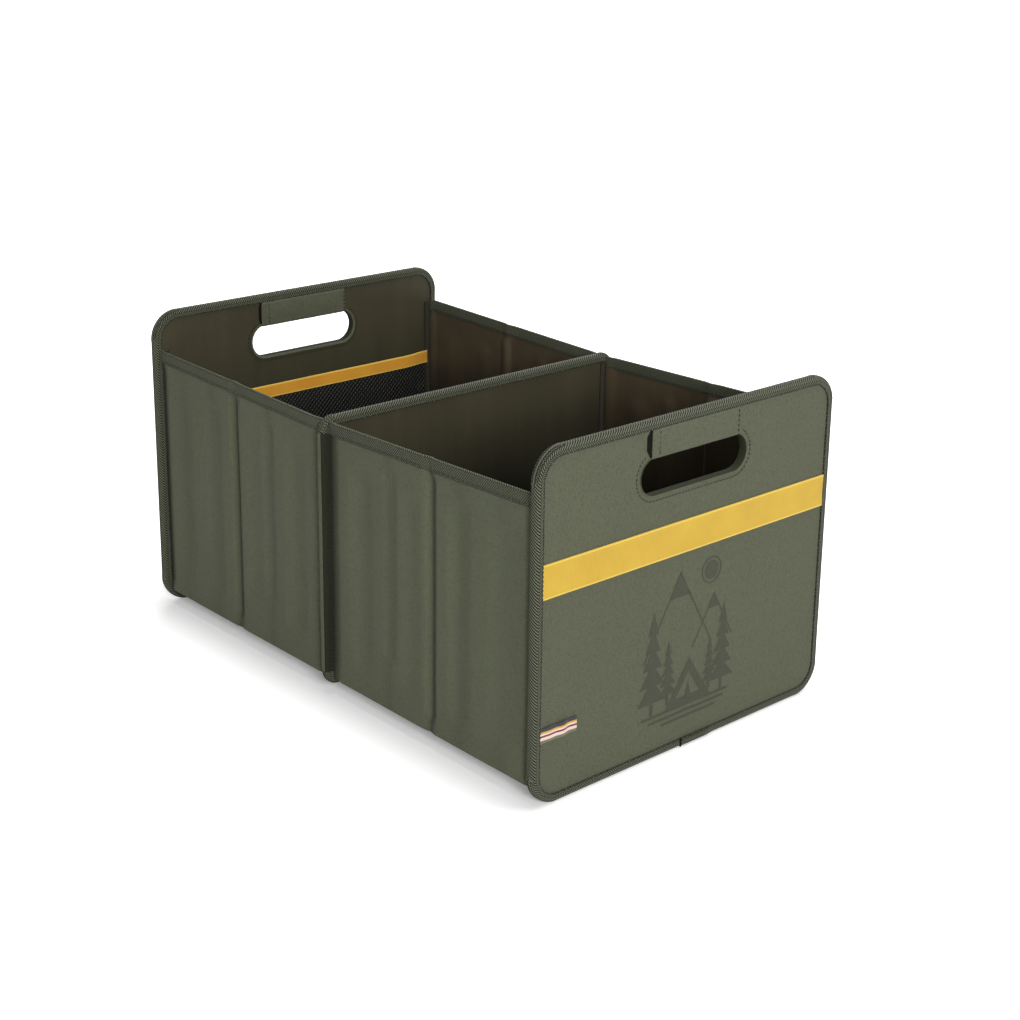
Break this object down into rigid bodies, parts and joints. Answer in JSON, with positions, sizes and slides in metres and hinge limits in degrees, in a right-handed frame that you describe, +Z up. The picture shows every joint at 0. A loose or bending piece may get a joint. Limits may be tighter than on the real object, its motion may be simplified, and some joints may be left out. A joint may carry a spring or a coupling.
{
  "type": "collapsible storage crate",
  "caption": "Collapsible fabric storage crate with two bound end panels, a divider, inward-folding side walls, hinged floor boards and hand holes.",
  "frame": {"origin": "under the middle of the crate, on the surface it stands on", "axes": "+X towards the front panel with the closing band, +Y across the crate, +Z up"},
  "size_m": [0.502, 0.316, 0.271],
  "materials": {
    "outer_fabric": "olive green plain-weave polyester",
    "lining_fabric": "dark brown satin-weave lining",
    "binding_tape": "olive herringbone binding tape",
    "stiffening_board": "plain dark board, sewn inside",
    "yellow_elastic": "ribbed yellow elastic webbing",
    "pocket_mesh": "black knitted mesh",
    "label_ribbon": "woven ribbon with plain stripes"
  },
  "bodies": {
    "divider": {"divider_binding": "binding_tape", "divider_board": "stiffening_board", "divider_front_lining": "lining_fabric", "divider_rear_lining": "lining_fabric"},
    "front_panel": {"front_handle_grip": "outer_fabric", "front_panel_binding": "binding_tape", "front_panel_board": "stiffening_board", "front_panel_cover": "outer_fabric", "front_panel_lining": "lining_fabric", "closing_band": "yellow_elastic", "stripe_label": "label_ribbon"},
    "front_left_wall_inner": {"front_left_wall_inner_gusset": "outer_fabric", "front_left_wall_inner_hem": "binding_tape", "front_left_wall_inner_panel": "outer_fabric"},
    "front_left_wall_outer": {"front_left_wall_outer_gusset": "outer_fabric", "front_left_wall_outer_hem": "binding_tape", "front_left_wall_outer_panel": "outer_fabric"},
    "front_right_wall_inner": {"front_right_wall_inner_gusset": "outer_fabric", "front_right_wall_inner_hem": "binding_tape", "front_right_wall_inner_panel": "outer_fabric"},
    "front_right_wall_outer": {"front_right_wall_outer_gusset": "outer_fabric", "front_right_wall_outer_hem": "binding_tape", "front_right_wall_outer_panel": "outer_fabric"},
    "front_floor_inner": {"front_floor_inner_board": "stiffening_board", "front_floor_inner_fabric": "outer_fabric"},
    "front_floor_outer": {"front_floor_outer_board": "stiffening_board", "front_floor_outer_fabric": "outer_fabric"},
    "rear_panel": {"rear_handle_grip": "outer_fabric", "rear_panel_binding": "binding_tape", "rear_panel_board": "stiffening_board", "rear_panel_cover": "outer_fabric", "rear_panel_lining": "lining_fabric", "mesh_pocket": "pocket_mesh", "pocket_edge": "yellow_elastic"},
    "rear_left_wall_inner": {"rear_left_wall_inner_gusset": "outer_fabric", "rear_left_wall_inner_hem": "binding_tape", "rear_left_wall_inner_panel": "outer_fabric"},
    "rear_left_wall_outer": {"rear_left_wall_outer_gusset": "outer_fabric", "rear_left_wall_outer_hem": "binding_tape", "rear_left_wall_outer_panel": "outer_fabric"},
    "rear_right_wall_inner": {"rear_right_wall_inner_gusset": "outer_fabric", "rear_right_wall_inner_hem": "binding_tape", "rear_right_wall_inner_panel": "outer_fabric"},
    "rear_right_wall_outer": {"rear_right_wall_outer_gusset": "outer_fabric", "rear_right_wall_outer_hem": "binding_tape", "rear_right_wall_outer_panel": "outer_fabric"},
    "rear_floor_inner": {"rear_floor_inner_board": "stiffening_board", "rear_floor_inner_fabric": "outer_fabric"},
    "rear_floor_outer": {"rear_floor_outer_board": "stiffening_board", "rear_floor_outer_fabric": "outer_fabric"}
  },
  "joints": [
    {"name": "front_fold", "type": "hinge", "parent": "divider", "child": "front_left_wall_inner", "pos_m": [0.0045, -0.1493, 0], "axis": [0, 0, 1], "range_deg": [0, 90], "deforming": ["front_left_wall_inner_gusset", "front_left_wall_outer_gusset", "front_right_wall_inner_gusset", "front_right_wall_outer_gusset"]},
    {"name": "front_left_crease", "type": "hinge", "parent": "front_left_wall_inner", "child": "front_left_wall_outer", "pos_m": [0.123, -0.15805, 0], "axis": [0, 0, -1], "range_deg": [0, 180]},
    {"name": "front_panel_hinge", "type": "hinge", "parent": "front_left_wall_outer", "child": "front_panel", "pos_m": [0.2415, -0.1493, 0], "axis": [0, 0, 1], "range_deg": [0, 90]},
    {"name": "front_right_fold", "type": "hinge", "parent": "divider", "child": "front_right_wall_inner", "pos_m": [0.0045, 0.1493, 0], "axis": [0, 0, -1], "range_deg": [0, 90]},
    {"name": "front_right_crease", "type": "hinge", "parent": "front_right_wall_inner", "child": "front_right_wall_outer", "pos_m": [0.123, 0.15805, 0], "axis": [0, 0, 1], "range_deg": [0, 180]},
    {"name": "front_floor_inner_lift", "type": "hinge", "parent": "divider", "child": "front_floor_inner", "pos_m": [0.00875, 0, 0.01825], "axis": [0, -1, 0], "range_deg": [0, 90]},
    {"name": "front_floor_outer_lift", "type": "hinge", "parent": "front_panel", "child": "front_floor_outer", "pos_m": [0.23725, 0, 0.01825], "axis": [0, 1, 0], "range_deg": [0, 90]},
    {"name": "rear_fold", "type": "hinge", "parent": "divider", "child": "rear_left_wall_inner", "pos_m": [-0.0045, -0.1493, 0], "axis": [0, 0, -1], "range_deg": [0, 90], "deforming": ["rear_left_wall_inner_gusset", "rear_left_wall_outer_gusset", "rear_right_wall_inner_gusset", "rear_right_wall_outer_gusset", "mesh_pocket", "pocket_edge"]},
    {"name": "rear_left_crease", "type": "hinge", "parent": "rear_left_wall_inner", "child": "rear_left_wall_outer", "pos_m": [-0.123, -0.15805, 0], "axis": [0, 0, 1], "range_deg": [0, 180]},
    {"name": "rear_panel_hinge", "type": "hinge", "parent": "rear_left_wall_outer", "child": "rear_panel", "pos_m": [-0.2415, -0.1493, 0], "axis": [0, 0, -1], "range_deg": [0, 90]},
    {"name": "rear_right_fold", "type": "hinge", "parent": "divider", "child": "rear_right_wall_inner", "pos_m": [-0.0045, 0.1493, 0], "axis": [0, 0, 1], "range_deg": [0, 90]},
    {"name": "rear_right_crease", "type": "hinge", "parent": "rear_right_wall_inner", "child": "rear_right_wall_outer", "pos_m": [-0.123, 0.15805, 0], "axis": [0, 0, -1], "range_deg": [0, 180]},
    {"name": "rear_floor_inner_lift", "type": "hinge", "parent": "divider", "child": "rear_floor_inner", "pos_m": [-0.00875, 0, 0.01825], "axis": [0, 1, 0], "range_deg": [0, 90]},
    {"name": "rear_floor_outer_lift", "type": "hinge", "parent": "rear_panel", "child": "rear_floor_outer", "pos_m": [-0.23725, 0, 0.01825], "axis": [0, -1, 0], "range_deg": [0, 90]}
  ],
  "couplings": [
    {"joint": "front_left_crease", "follows": "front_fold", "ratio": 2},
    {"joint": "front_panel_hinge", "follows": "front_fold", "ratio": 1},
    {"joint": "front_right_fold", "follows": "front_fold", "ratio": 1},
    {"joint": "front_right_crease", "follows": "front_fold", "ratio": 2},
    {"joint": "front_floor_inner_lift", "follows": "front_fold", "ratio": 1},
    {"joint": "front_floor_outer_lift", "follows": "front_fold", "ratio": 1},
    {"joint": "rear_left_crease", "follows": "rear_fold", "ratio": 2},
    {"joint": "rear_panel_hinge", "follows": "rear_fold", "ratio": 1},
    {"joint": "rear_right_fold", "follows": "rear_fold", "ratio": 1},
    {"joint": "rear_right_crease", "follows": "rear_fold", "ratio": 2},
    {"joint": "rear_floor_inner_lift", "follows": "rear_fold", "ratio": 1},
    {"joint": "rear_floor_outer_lift", "follows": "rear_fold", "ratio": 1}
  ]
}
